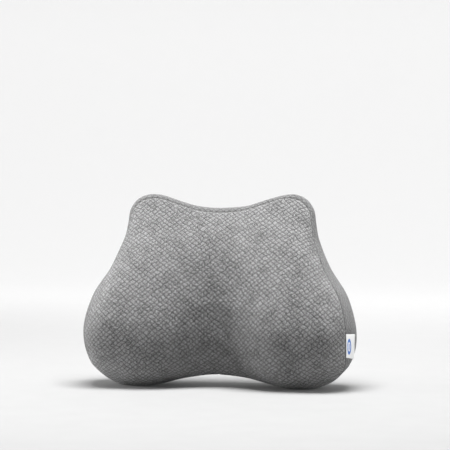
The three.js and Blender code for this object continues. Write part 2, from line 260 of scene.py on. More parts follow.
def cad_rings(node):
    """The rings of a CAD skin from the middle of its front to its last ring, the two middles included.

    Each ring starts at the top centre and runs down the +X side.
    """
    mesh = cad_mesh(node)
    middles = sorted(mesh.verts, key=lambda v: -len(v.link_edges))[:2]
    start = min(middles, key=lambda v: v.co.y)
    centre = start.co.copy()
    seen, level, rings = {start}, [start], []
    while level:
        points = np.array([v.co for v in level], float)
        first = int(np.argmin(np.abs(points[:, 0]) + (points[:, 2] < centre.z)))
        rings.append(np.roll(points, -first, axis=0))
        following = {e.other_vert(v) for v in level for e in v.link_edges} - seen
        seen |= following
        level = sorted(following, key=lambda v: math.atan2(v.co.x, v.co.z - centre.z) % TURN)
    mesh.free()
    return rings


FOAM_RINGS = cad_rings("foam_core")
SPOKES = len(FOAM_RINGS[1])
LAST = len(FOAM_RINGS) - 1                                    # the middle of the back
FRONT_SEAM = len(cad_rings("cover_front_panel")) // 2 - 1     # ring under the front panel's seam
BACK_SEAM = LAST - 2                                          # ring under the seam round the back


def between(points, t):
    """The smooth curve's point at t between the middle two of four points."""
    return sum(weight * point for weight, point in zip(catmull_rom(t), points))


def smooth_skin():
    """The foam's surface as a dense table: rows from the front's middle to the back's, columns round."""
    front, back = (np.repeat(FOAM_RINGS[end], SPOKES, axis=0) for end in (0, -1))
    rows = [front, *FOAM_RINGS[1:-1], back]
    padded = [np.roll(ring, SPOKES // 2, axis=0) for ring in (rows[1], rows[-2])]
    padded[1:1] = rows
    dense = [
        between(padded[r : r + 4], k / RING_STEPS) for r in range(LAST) for k in range(RING_STEPS)
    ]
    table = np.array([*dense, back])
    columns = [
        between([np.roll(table, shift, axis=1) for shift in (1, 0, -1, -2)], k / SPOKE_STEPS)
        for k in range(SPOKE_STEPS)
    ]
    return np.stack(columns, axis=2).reshape(len(table), -1, 3)


def cover_skin():
    """The cover's outer surface: the foam's, moved out as far as the CAD cover lies from the foam."""
    table = smooth_skin()
    front_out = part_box("foam_core")[0].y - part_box("cover_front_panel")[0].y
    back_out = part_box("cover_back_upper")[1].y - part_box("foam_core")[1].y
    rows = np.arange(len(table)) / RING_STEPS
    share = smooth((rows - FRONT_SEAM) / (BACK_SEAM + 0.5 - FRONT_SEAM))
    out = front_out + (back_out - front_out) * share
    across = np.roll(table, -1, axis=1) - np.roll(table, 1, axis=1)
    normals = unit(np.cross(across, np.gradient(table, axis=0)))
    normals[0] = (0, -1, 0)
    normals[-1] = (0, 1, 0)
    return on_floor(table + normals * out[:, None, None])


SKIN = cover_skin()
COLUMNS = SKIN.shape[1]


def on_skin(ring, column):
    """Points of the skin at ring numbers and column numbers, both with fractions."""
    row = np.clip(np.asarray(ring, float) * RING_STEPS, 0, len(SKIN) - 1.000001)
    column = np.asarray(column, float) % COLUMNS
    r = row.astype(int)
    c = column.astype(int)
    fr = (row - r)[..., None]
    fc = (column - c)[..., None]
    nc = (c + 1) % COLUMNS
    low = SKIN[r, c] * (1 - fc) + SKIN[r, nc] * fc
    high = SKIN[r + 1, c] * (1 - fc) + SKIN[r + 1, nc] * fc
    return low * (1 - fr) + high * fr


def skin_tree():
    """The skin as a tree for nearest points and rays."""
    faces = np.array(quads(wrap(numbers(*SKIN.shape[:2]))))
    return BVHTree.FromPolygons(SKIN.reshape(-1, 3).tolist(), faces.tolist())


# ------------------------------------------------------------------ the coarse grids


def corners():
    """Columns of the front seam's four corners: top right, bottom right, bottom left, top left."""
    seam = on_skin(FRONT_SEAM, np.arange(COLUMNS))
    x, z = seam[:, 0], seam[:, 2]
    top_right = int(np.argmax(x + z))
    bottom_right = int(np.argmax(x - z))
    return top_right, bottom_right, COLUMNS - bottom_right, COLUMNS - top_right


def evenly(first, last, count):
    """count + 1 columns from first to last, evenly spaced along the front seam."""
    fine = np.linspace(first, last, SEAM_SAMPLES)
    length = run_length(on_skin(FRONT_SEAM, fine))
    return np.interp(np.linspace(0, length[-1], count + 1), length, fine)


TOP_RIGHT, BOTTOM_RIGHT, BOTTOM_LEFT, TOP_LEFT = corners()
TOP = evenly(TOP_LEFT - COLUMNS, TOP_RIGHT, ACROSS)          # left to right
RIGHT = evenly(TOP_RIGHT, BOTTOM_RIGHT, UP)[::-1]            # bottom to top
BOTTOM = evenly(BOTTOM_RIGHT, BOTTOM_LEFT, ACROSS)[::-1]     # left to right
LEFT = evenly(BOTTOM_LEFT, TOP_LEFT, UP)                     # bottom to top


def face_grid(tree, ring, towards):
    """A grid over the front or back inside a seam; towards is +1 to look along +Y and -1 along -Y."""
    bottom, top = on_skin(ring, BOTTOM), on_skin(ring, TOP)
    left, right = on_skin(ring, LEFT), on_skin(ring, RIGHT)
    s = np.linspace(0, 1, ACROSS + 1)[None, :, None]
    t = np.linspace(0, 1, UP + 1)[:, None, None]
    grid = (1 - t) * bottom[None] + t * top[None] + (1 - s) * left[:, None] + s * right[:, None]
    grid -= (1 - t) * ((1 - s) * bottom[0] + s * bottom[-1]) + t * ((1 - s) * top[0] + s * top[-1])
    start = -1.0 * towards
    for j in range(1, UP):
        for i in range(1, ACROSS):
            x, _, z = grid[j, i]
            hit = tree.ray_cast(Vector((x, start, z)), Vector((0, towards, 0)))[0]
            grid[j, i] = hit if hit else grid[j, i]
    for _ in range(RELAX_STEPS):
        middle = (grid[2:, 1:-1] + grid[:-2, 1:-1] + grid[1:-1, 2:] + grid[1:-1, :-2]) / 4
        flat = [tree.find_nearest(Vector(p))[0] for p in middle.reshape(-1, 3)]
        grid[1:-1, 1:-1] = np.array(flat).reshape(middle.shape)
    return grid


def gusset_grid():
    """Rows from the back seam to the front seam, columns round the rim from the bottom left."""
    columns = np.concatenate([BOTTOM[:-1], RIGHT[:-1], TOP[:0:-1], LEFT[:0:-1]])
    rings = np.linspace(BACK_SEAM, FRONT_SEAM, ROUND + 1)
    return np.array([on_skin(ring, columns) for ring in rings])


def rim_of(grid):
    """The outermost points of a face grid in the rim's order."""
    return np.concatenate([grid[0, :-1], grid[:-1, -1], grid[-1, :0:-1], grid[:0:-1, 0]])


def closed_body(front, gusset, back):
    """The whole cushion's points and outward faces, and which points the front, gusset and back have."""
    front_at = numbers(UP + 1, ACROSS + 1)
    back_at = front_at + front_at.size
    inner = numbers(len(gusset) - 2, gusset.shape[1], 2 * front_at.size)
    gusset_at = np.concatenate([rim_of(back_at)[None], inner, rim_of(front_at)[None]])
    points = np.concatenate([part.reshape(-1, 3) for part in (front, back, gusset[1:-1])])
    faces = quads(front_at) + quads(back_at, flipped=True) + quads(wrap(gusset_at))
    return points, np.array(faces), front_at, gusset_at, back_at


# ------------------------------------------------------------------ padding


def body_normals(points, faces):
    """Outward unit normal at each point of a closed mesh of quads."""
    a, b, c, d = (points[faces[:, k]] for k in range(4))
    face_normals = np.cross(c - a, d - b)
    normals = np.zeros_like(points)
    for k in range(4):
        np.add.at(normals, faces[:, k], face_normals)
    return unit(normals)


def pad_out(points, faces, seams):
    """The closed cushion padded out by a cloth simulation; seams are the points that its seams hold."""
    start = points - body_normals(points, faces) * SIM_SHRINK
    body = new_mesh("padding", start, faces)
    hold = body.vertex_groups.new(name="hold")
    weights = np.full(len(points), SIM_HOLD)
    weights[seams] = SIM_SEAM_HOLD
    for value in np.unique(weights):
        hold.add(np.flatnonzero(weights == value).tolist(), float(value), "REPLACE")
    cloth = body.modifiers.new("padding", "CLOTH")
    for name, value in SIM_CLOTH.items():
        setattr(cloth.settings, name, value)
    cloth.settings.effector_weights.gravity = 0
    cloth.point_cache.frame_start = 1
    cloth.point_cache.frame_end = SIM_FRAMES
    scene = bpy.context.scene
    for number in range(1, SIM_FRAMES + 1):
        scene.frame_set(number)
    done = body.evaluated_get(bpy.context.evaluated_depsgraph_get())
    moved = np.zeros(len(points) * 3)
    done.data.vertices.foreach_get("co", moved)
    scene.frame_set(1)
    bpy.data.objects.remove(body)
    shift = moved.reshape(-1, 3) - start
    length = np.linalg.norm(shift, axis=1, keepdims=True)
    shift *= np.minimum(1, SIM_CAP / np.maximum(length, 1e-9))
    return on_floor(start + shift)


# ------------------------------------------------------------------ one panel of cloth


def panel(name, outer, inner, uv, cells=None):
    """A closed piece of cloth: a fine outer sheet, a coarser inner one, and its cut edges between them."""
    rows, columns = outer.shape[:2]
    per_row = (rows - 1) // (inner.shape[0] - 1)
    per_column = (columns - 1) // (inner.shape[1] - 1)
    top = numbers(rows, columns)
    under = numbers(*inner.shape[:2], rows * columns)
    faces = quads(top) + quads(under, flipped=True)
    for fine, coarse, step, flipped in (
        (top[0], under[0], per_column, True),
        (top[-1], under[-1], per_column, False),
        (top[:, 0], under[:, 0], per_row, False),
        (top[:, -1], under[:, -1], per_row, True),
    ):
        for k in range(len(coarse) - 1):
            part = fine[k * step : (k + 1) * step + 1]
            ends = coarse[k + 1], coarse[k]
            faces.append((*part[::-1], *ends[::-1]) if flipped else (*part, *ends))
    maps = {
        label: np.concatenate([values.reshape(-1, 2), values[::per_row, ::per_column].reshape(-1, 2)])
        for label, values in (("cloth", uv), ("cells", cells))
        if values is not None
    }
    return new_mesh(name, np.concatenate([outer.reshape(-1, 3), inner.reshape(-1, 3)]), faces, maps)


def knit_coordinates(grid, normals, right):
    """How far each point lies to the right and up along the cloth from the middle of its panel."""
    right = np.array(right, float)
    up = np.array((0.0, 0.0, 1.0))
    level = right - normals * (normals @ right)[..., None]
    turned = np.cross(up - normals * (normals @ up)[..., None], normals)
    weight_level = np.linalg.norm(level, axis=-1, keepdims=True) ** 2
    weight_turned = np.linalg.norm(turned, axis=-1, keepdims=True) ** 2
    to_right = unit(level * weight_level + turned * weight_turned)
    to_up = np.cross(normals, to_right)
    middle_row, middle_column = grid.shape[0] // 2, grid.shape[1] // 2

    def travelled(direction, axis):
        step = np.diff(grid, axis=axis)
        ahead = np.take(direction, range(1, grid.shape[axis]), axis=axis)
        behind = np.take(direction, range(grid.shape[axis] - 1), axis=axis)
        part = np.sum(step * (ahead + behind) / 2, axis=-1)
        start = np.zeros_like(np.take(part, [0], axis=axis))
        return np.concatenate([start, np.cumsum(part, axis=axis)], axis=axis)

    u = travelled(to_right, 1)
    u -= u[:, [middle_column]]
    spine = travelled(to_right, 0)[:, middle_column]
    u += (spine - spine[middle_row])[:, None]
    v = travelled(to_up, 0)
    v -= v[[middle_row]]
    spine = travelled(to_up, 1)[middle_row]
    v += (spine - spine[middle_column])[None]
    return np.stack([u, v], axis=-1)


def to_line(points, line):
    """Distance from each point to the nearest point of a line, and that point's number."""
    tree = KDTree(len(line))
    for number, point in enumerate(line):
        tree.insert(point, number)
    tree.balance()
    found = np.array([tree.find(p)[1:] for p in points.reshape(-1, 3)])
    index, distance = (found[:, k].reshape(points.shape[:-1]) for k in range(2))
    return distance, index.astype(int)


class Seam:
    """A closed seam: its line, the normal that its two pieces share there, and what it does to them."""

    def __init__(self, line, normals, seed):
        self.line = line
        self.normals = normals
        along = np.cumsum(np.linalg.norm(line - np.roll(line, 1, axis=0), axis=1))
        rng = np.random.default_rng(SEED + seed)
        self.gathers = np.zeros(len(line))
        for scale in (0.62, 1.0, 1.37, 1.9):
            rounds = round(along[-1] * scale / PUCKER_LENGTH)
            phase = rng.uniform(0, TURN)
            self.gathers += np.sin(along / along[-1] * (TURN * rounds) + phase) / 2

    def shape(self, grid, normals):
        """Distance of a grid's points from the seam, their normals, and their height above the grid."""
        distance, index = to_line(grid, self.line)
        away = smooth(distance / SEAM_WIDTH)
        share = (1 - away)[..., None]
        normals = unit(normals * (1 - share) + self.normals[index] * share)
        fade = away * (1 - smooth(distance / PUCKER_REACH))
        height = -SEAM_DEPTH * (1 - away) + PUCKER * self.gathers[index] * fade
        return distance, normals, height


def lattice_coordinates(uv):
    """Cells of the lattice along its two diagonals, a little astray as in real knit."""
    flat = np.concatenate([uv, np.zeros_like(uv[..., :1])], axis=-1)
    u = (uv[..., 0] + LATTICE_WANDER * waves(flat, WANDER_LENGTH, 5)) / LATTICE_WIDE
    v = (uv[..., 1] + LATTICE_WANDER * waves(flat, WANDER_LENGTH, 6)) / LATTICE_TALL
    return np.stack([u + v, u - v], axis=-1)


def lattice(cells):
    """Height of the front knit from 0 in its grooves to 1 on its nubs, which aren't all alike."""
    off_line = np.abs(cells % 1 - 0.5).min(axis=-1)
    number = np.floor(cells + 0.5).astype(int) % LATTICE_TABLE
    table = np.random.default_rng(SEED).uniform(0.6, 1.0, (LATTICE_TABLE, LATTICE_TABLE))
    uneven = table[number[..., 0], number[..., 1]]
    return (1 - (1 - np.clip(off_line / LATTICE_GROOVE, 0, 1)) ** 2) * uneven


# ------------------------------------------------------------------ the padded cushion


SLIDER_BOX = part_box("zip_slider")
ZIP_HEIGHT = (SLIDER_BOX[0].z + SLIDER_BOX[1].z) / 2
ZIP_ROOM = 2.6 * MM        # how much deeper the liner lies behind the zip than elsewhere
SEAM_ALLOWANCE = 1.5 * MM  # and under the seams
ZIP_HOLD = 14 * MM         # how far from the zip the back is held like a seam

skin = skin_tree()
front_start = face_grid(skin, FRONT_SEAM, 1.0)
back_start = face_grid(skin, BACK_SEAM, -1.0)
BODY, FACES, FRONT_AT, GUSSET_AT, BACK_AT = closed_body(front_start, gusset_grid(), back_start)
near_zip = BACK_AT[np.abs(BODY[BACK_AT][..., 2] - ZIP_HEIGHT) < ZIP_HOLD]
BODY = pad_out(BODY, FACES, np.unique(np.concatenate([GUSSET_AT[0], GUSSET_AT[-1], near_zip])))
NORMALS = body_normals(BODY, FACES)

LAYER_EXTRA = np.zeros(len(BODY))
LAYER_EXTRA[BACK_AT] = ZIP_ROOM
LAYER_EXTRA[GUSSET_AT] = ZIP_ROOM * np.linspace(1, 0, len(GUSSET_AT))[:, None]
LAYER_EXTRA[GUSSET_AT[[0, -1]]] += SEAM_ALLOWANCE


def layer(depth):
    """The cushion's points that far inside the cover's outer face, and a bit more at the back."""
    return BODY - NORMALS * (depth + LAYER_EXTRA)[:, None]


def join_at_bottom(loop):
    """A looped grid opened at the middle of the bottom edge, with its first column repeated at its end."""
    per_cell = loop.shape[1] // (2 * (ACROSS + UP))
    return wrap(np.roll(loop, -(ACROSS // 2) * per_cell, axis=1))


front_grid = refine(BODY[FRONT_AT], FINER, FINER)
back_grid = refine(BODY[BACK_AT], FINER, FINER)
gusset_loop = refine_loop(BODY[GUSSET_AT], GUSSET_FINER, FINER)
gusset_loop[0] = rim_of(back_grid)
gusset_loop[-1] = rim_of(front_grid)
gusset_normals = grid_normals(gusset_loop, looped=True)
front_normals = grid_normals(front_grid)
back_rim_normals = -rim_of(grid_normals(back_grid))
FRONT_LINE = Seam(gusset_loop[-1], unit(gusset_normals[-1] + rim_of(front_normals)), 1)
BACK_LINE = Seam(gusset_loop[0], unit(gusset_normals[0] + back_rim_normals), 2)


def unevenness(grid):
    """The cloth isn't perfectly even over the foam."""
    return UNEVEN * waves(grid, UNEVEN_LENGTH, 3)


def under(points_at):
    """The inner face of the cover's cloth at some of the cushion's points, pulled in along the seams."""
    depth = np.full(len(BODY), CLOTH)
    depth[GUSSET_AT[[0, -1]]] += SEAM_DEPTH
    return (BODY - NORMALS * depth[:, None])[points_at]


def front_panel():
    """The front: raised diamonds over the whole dished face."""
    uv = knit_coordinates(front_grid, front_normals, (1, 0, 0))
    cells = lattice_coordinates(uv)
    distance, normals, height = FRONT_LINE.shape(front_grid, front_normals)
    shown = smooth((distance - 0.5 * MM) / (3 * MM))      # the lattice fades out beside the seam
    height += (LATTICE_RELIEF * (lattice(cells) - 0.5) + unevenness(front_grid)) * shown
    outer = on_floor(front_grid + normals * height[..., None])
    return panel("front_panel", outer, on_floor(under(FRONT_AT)), uv, cells)


GUSSET_STEP = 1.2 * MM     # about as wide as one of the gusset's fine cells
GUSSET_END_DEPTH = 0.8 * MM
SEAM_FADE = 6 * MM         # the cloth's unevenness fades out this far from a seam


def gusset_surface():
    """The gusset's outer surface, opened at the bottom, and its normals."""
    grid = join_at_bottom(gusset_loop)
    normals = join_at_bottom(gusset_normals)
    front_distance, normals, front_height = FRONT_LINE.shape(grid, normals)
    back_distance, normals, back_height = BACK_LINE.shape(grid, normals)
    shown = smooth(np.minimum(front_distance, back_distance) / SEAM_FADE)
    height = front_height + back_height + unevenness(grid) * shown
    columns = np.arange(grid.shape[1])
    from_end = np.minimum(columns, columns[::-1]) * GUSSET_STEP
    height -= GUSSET_END_DEPTH * (1 - smooth(from_end / SEAM_WIDTH))
    return on_floor(grid + normals * height[..., None]), normals


def gusset():
    """The plain band round the edge, its two ends sewn together at the middle of the bottom."""
    outer, _ = gusset_surface()
    steps = np.linalg.norm(np.diff(outer, axis=1), axis=2).mean(axis=0)
    along = np.concatenate([[0], np.cumsum(steps)])
    rise = np.linalg.norm(np.diff(outer, axis=0), axis=2)
    up = np.concatenate([np.zeros((1, outer.shape[1])), np.cumsum(rise, axis=0)])
    uv = np.stack([np.broadcast_to(along, up.shape), up], axis=-1)
    inner = on_floor(join_at_bottom(under(GUSSET_AT)))
    return panel("gusset", outer, inner, uv)


# ------------------------------------------------------------------ the back and its zip opening

OPENING_END = 160 * MM
OPENING_HALF = 6 * MM
OPENING_SLIT = 0.1 * MM              # half its height beyond its ends
OPENING_TURN = 5 * MM                # length over which the opening closes at its ends
ZIP_EDGE_STEPS_MM = (0, 0.6, 1.2, 1.9, 2.6, 3.3, 4.0, 4.8, 5.8, 7.2, 9.2, 12)
ZIP_STITCH_STEP = 6                  # which of those steps the stitches run along
BACK_CELL = 3.6 * MM
EDGE_DIP = 0.9 * MM
EDGE_ROUND = 1.9 * MM                # how wide the opening's rounded edge is
EDGE_FADE = 12 * MM                  # the cloth's unevenness fades out this far from the opening
STITCH_DIP = 0.5 * MM
STITCH_GROOVE = 0.9 * MM
STITCH_PAST = 3 * MM                 # how far the stitches' groove runs past the opening's ends


def opening(x):
    """Half the height of the zip opening at x."""
    share = smooth((OPENING_END - np.abs(x)) / OPENING_TURN)
    return OPENING_SLIT + (OPENING_HALF - OPENING_SLIT) * share


def back_surface(side):
    """The outer surface of the back above (side 1) or below (-1) the zip, as a grid seen from behind."""
    dense = refine(BODY[BACK_AT][:, ::-1], BACK_FINER, FINER)
    edge_steps = np.array(ZIP_EDGE_STEPS_MM) * MM
    reach = np.abs(dense[-1 if side > 0 else 0, :, 2] - ZIP_HEIGHT).max()
    far_cells = int((reach - edge_steps[-1]) / BACK_CELL)
    columns = []
    for column in np.moveaxis(dense, 1, 0):
        run = column if side > 0 else column[::-1]
        past = side * (run[:, 2] - ZIP_HEIGHT) - opening(run[:, 0])
        first = int(np.argmax(past > 0))
        share = past[first - 1] / (past[first - 1] - past[first])
        run = np.concatenate([[run[first - 1] * (1 - share) + run[first] * share], run[first:]])
        lengths = run_length(run)
        far = np.linspace(edge_steps[-1], lengths[-1], far_cells + 1)[1:]
        placed = part_way(np.concatenate([edge_steps, far]), lengths, run)
        columns.append(placed if side > 0 else placed[::-1])
    grid = np.stack(columns, axis=1)
    normals = grid_normals(grid)
    distance, normals, height = BACK_LINE.shape(grid, normals)
    from_edge = np.abs(grid[..., 2] - ZIP_HEIGHT) - opening(grid[..., 0])
    at_opening = smooth((OPENING_END + STITCH_PAST - np.abs(grid[..., 0])) / OPENING_TURN)
    height += unevenness(grid) * smooth(distance / SEAM_FADE) * smooth(from_edge / EDGE_FADE)
    dip = SEAM_DEPTH + (EDGE_DIP - SEAM_DEPTH) * at_opening
    height -= dip * (1 - smooth(from_edge / EDGE_ROUND)) * smooth(distance / SEAM_WIDTH)
    stitched = np.exp(-(((from_edge - edge_steps[ZIP_STITCH_STEP]) / STITCH_GROOVE) ** 2))
    height -= STITCH_DIP * stitched * at_opening
    return grid + normals * height[..., None], grid, normals


def back_panel(name, side):
    """One of the back's two panels."""
    outer, grid, normals = back_surface(side)
    outer = on_floor(outer)
    uv = knit_coordinates(grid, normals, (-1, 0, 0))
    inner = on_floor(outer - normals * CLOTH)
    return panel(name, outer, inner, uv), outer


STITCH_PITCH = 3.3 * MM
STITCH_LENGTH = 2.5 * MM
STITCH_RADIUS = 0.3 * MM
STITCH_SINK = 0.35 * MM              # how deep a stitch's ends dive
STITCH_SIDES = 8
# for each ring of a stitch: how far along it is, its width and its rise, as shares of the sizes above
STITCH_RINGS = ((0.0, 0.5, -1.0), (0.14, 0.9, 0.0), (0.5, 1.0, 0.35), (0.86, 0.9, 0.0), (1.0, 0.5, -1.0))


def opening_stitches(name, outer, side):
    """The stitches that hold one side of the opening to its tape: short threads whose ends dive in."""
    row = ZIP_STITCH_STEP if side > 0 else -1 - ZIP_STITCH_STEP
    keep = np.abs(outer[row, :, 0]) < OPENING_END
    line, normals = outer[row, keep], grid_normals(outer)[row, keep]
    lengths = run_length(line)
    points, faces = [], []
    for number in range(int(lengths[-1] / STITCH_PITCH)):
        faces += tube(numbers(len(STITCH_RINGS), STITCH_SIDES, len(points)))
        for share, wide, lift in STITCH_RINGS:
            at = number * STITCH_PITCH + share * STITCH_LENGTH
            point = part_way(at, lengths, line)
            normal = unit(part_way(at, lengths, normals))
            across = unit(np.cross(unit(part_way(at + MM, lengths, line) - point), normal))
            centre = point + normal * (STITCH_RADIUS * 0.4 + lift * STITCH_SINK)
            for angle in np.linspace(0, TURN, STITCH_SIDES, endpoint=False):
                spoke = math.cos(angle) * across + math.sin(angle) * normal
                points.append(centre + STITCH_RADIUS * wide * spoke)
    return new_mesh(name, points, faces)


TAPE_COLUMNS = 163
TAPE_STEPS_MM = (0, 0.7, 1.4, 2.2, 3.4, 5, 7, 9, 11, 12.4, 13.1)      # from its inner edge
TAPE_HALF = 0.25 * MM
TAPE_RIB_WIDTH = 1.1 * MM            # the cord along its inner edge
TAPE_RIB_RISE = (0.2 * MM, 0.15 * MM)
TAPE_WAVE = 0.12 * MM                # the outer edge's waves, and how far from the inner edge they start
TAPE_WAVE_LENGTH = 30 * MM
TAPE_FLAT = 2.8 * MM
TAPE_FADE = 4 * MM


def zip_tape(node, side):
    """A woven tape with a cord along its inner edge and a slightly wavy outer one."""
    low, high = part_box(node)
    across = np.array(TAPE_STEPS_MM)[::side] * MM
    z = (low.z if side > 0 else high.z) + side * across
    width, up = np.meshgrid(np.linspace(high.x, low.x, TAPE_COLUMNS), z)
    rib = np.exp(-((across / TAPE_RIB_WIDTH) ** 2))[:, None]
    lift = TAPE_WAVE * waves(np.stack([width, 0 * width, up], axis=-1), TAPE_WAVE_LENGTH, 11)
    lift *= smooth((across - TAPE_FLAT) / TAPE_FADE)[:, None]
    middle = (low.y + high.y) / 2
    outer_face, inner_face = (
        np.stack([width, middle + way * (TAPE_HALF + rise * rib) + lift, up], axis=-1)
        for way, rise in zip((1, -1), TAPE_RIB_RISE)
    )
    return panel(node + "_woven", outer_face, inner_face, np.stack([width, up], axis=-1))


TOOTH_OUTLINE_MM = (
    (-0.5, 1.6), (-0.48, 0.95), (-0.34, 0.55), (-0.54, 0.1), (-0.5, -0.35), (-0.28, -0.6),
    (0.28, -0.6), (0.5, -0.35), (0.54, 0.1), (0.34, 0.55), (0.48, 0.95), (0.5, 1.6),
)
TOOTH_RINGS_MM = ((-0.9, 0.72), (-0.7, 1.0), (0.62, 1.0), (0.82, 0.88), (0.9, 0.66))
TOOTH_PITCH = 3.0 * MM
TOOTH_START = {1: 0.85 * MM, -1: 2.35 * MM}     # from the row's end: the two rows are half a pitch apart
CORD_SIDES = 10
CORD_RADIUS = 0.5 * MM
CORD_SWELL = 0.04 * MM
CORD_MIDDLE = 1.45 * MM


def zip_teeth(node, side):
    """A row of moulded teeth on their cord."""
    low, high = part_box(node)
    middle_y = (low.y + high.y) / 2
    count = int(round((high.x - low.x) / TOOTH_PITCH))
    outline = np.array(TOOTH_OUTLINE_MM)
    middle = outline.mean(axis=0)
    points, faces = [], []
    for number in range(count):
        faces += tube(numbers(len(TOOTH_RINGS_MM), len(outline), len(points))[::side])
        x = low.x + TOOTH_START[side] + number * TOOTH_PITCH
        for height, share in TOOTH_RINGS_MM:
            for across, up in middle + (outline - middle) * share:
                points.append((x + across * MM, middle_y + height * MM, ZIP_HEIGHT + side * up * MM))
    rings = numbers(2 * count + 1, CORD_SIDES, len(points))
    for number, x in enumerate(np.linspace(low.x, high.x, len(rings))):
        swell = CORD_RADIUS + CORD_SWELL * (number % 2)
        for angle in np.linspace(0, TURN, CORD_SIDES, endpoint=False):
            z = ZIP_HEIGHT + side * CORD_MIDDLE + 0.9 * swell * math.sin(angle)
            points.append((x, middle_y + swell * math.cos(angle), z))
    faces += [*quads(wrap(rings).T), rings[0], rings[-1, ::-1]]
    return new_mesh(node + "_moulded", points, faces)


def rounded(node, width):
    """A copy of a CAD piece with its edges rounded off."""
    mesh = cad_mesh(node)
    bmesh.ops.dissolve_limit(mesh, angle_limit=math.radians(1), verts=mesh.verts, edges=mesh.edges)
    least = math.radians(28)
    sharp = [e for e in mesh.edges if len(e.link_faces) == 2 and e.calc_face_angle() > least]
    bmesh.ops.bevel(
        mesh, geom=sharp, offset=width, segments=3, profile=0.5, affect="EDGES", clamp_overlap=True
    )
    data = bpy.data.meshes.new(node + "_rounded")
    mesh.to_mesh(data)
    mesh.free()
    data.polygons.foreach_set("use_smooth", [False] * len(data.polygons))
    return place(node + "_rounded", data)


# ------------------------------------------------------------------ label, liner and foam

LABEL_LOW = 53 * MM
LABEL_HIGH = 90 * MM
LABEL_WIDE = 22 * MM
LABEL_REACH = 20.6 * MM              # how much of the gusset it covers, as it doesn't follow its round
LABEL_THICK = 0.4 * MM
LABEL_FLARE = 4.2 * MM               # how far its free edge stands off, as it is stiff
LABEL_WAVE = 0.3 * MM
LABEL_GAP = 0.6 * MM
LABEL_ROWS = 38
LABEL_COLUMNS = 23


def side_label():
    """The folded label: it leaves the front seam on the right and lies back over the gusset."""
    surface, normals = gusset_surface()
    right = slice(ACROSS // 2 * FINER, (ACROSS // 2 + UP) * FINER)
    heights = np.linspace(LABEL_LOW, LABEL_HIGH, LABEL_ROWS)
    columns = np.interp(heights, surface[-1, right, 2], np.arange(right.start, right.stop))
    across = np.linspace(0, LABEL_REACH, LABEL_COLUMNS)
    rows = []
    for number, column in enumerate(columns):
        c = int(column)
        share = column - c
        run, out = (
            (part[:, c] * (1 - share) + part[:, c + 1] * share)[::-1] for part in (surface, normals)
        )
        lengths = run_length(run)
        wave = math.sin(number / len(columns) * TURN + 0.6)
        stand = LABEL_GAP + SEAM_DEPTH * (1 - smooth(across / SEAM_WIDTH))
        stand += (LABEL_FLARE + LABEL_WAVE * wave) * (across / LABEL_REACH) ** 2
        normal = unit(part_way(across, lengths, unit(out)))
        rows.append(part_way(across, lengths, run) + normal * stand[:, None])
    outer = np.array(rows)
    inner = outer - grid_normals(outer) * LABEL_THICK
    u, v = np.meshgrid(across * (LABEL_WIDE / LABEL_REACH), heights - LABEL_LOW)
    return panel("label_satin", outer, inner, np.stack([u, v], axis=-1))


def shell(name, outer, inner, faces):
    """A closed sheet from two skins with the same faces, joined along the faces' open edge."""
    used = np.unique(faces)
    number = {int(v): k for k, v in enumerate(used)}
    count = len(used)
    faces = [tuple(number[int(v)] for v in face) for face in faces]
    edges = {(a, b) for face in faces for a, b in zip(face, face[1:] + face[:1])}
    rim = [(a, b) for a, b in edges if (b, a) not in edges]
    both = faces + [tuple(v + count for v in face[::-1]) for face in faces]
    both += [(b, a, a + count, b + count) for a, b in rim]
    return new_mesh(name, np.concatenate([outer[used], inner[used]]), both)


LINER_OUTSIDE = CLOTH + 0.4 * MM     # depths below the cover's outer face
LINER_INSIDE = CLOTH + 1.2 * MM
FOAM_OUTSIDE = CLOTH + 1.6 * MM


def liner_and_foam():
    """The inner sock in its two panels, and the foam inside it."""
    front_side = np.union1d(FRONT_AT, GUSSET_AT[len(GUSSET_AT) // 2 :])
    in_front = np.isin(FACES, front_side).all(axis=1)
    outer, inner = layer(LINER_OUTSIDE), layer(LINER_INSIDE)
    front = shell("liner_front_sock", outer, inner, FACES[in_front])
    back = shell("liner_back_sock", outer, inner, FACES[~in_front])
    return front, back, new_mesh("foam_block", layer(FOAM_OUTSIDE), FACES)


# ------------------------------------------------------------------ finishes


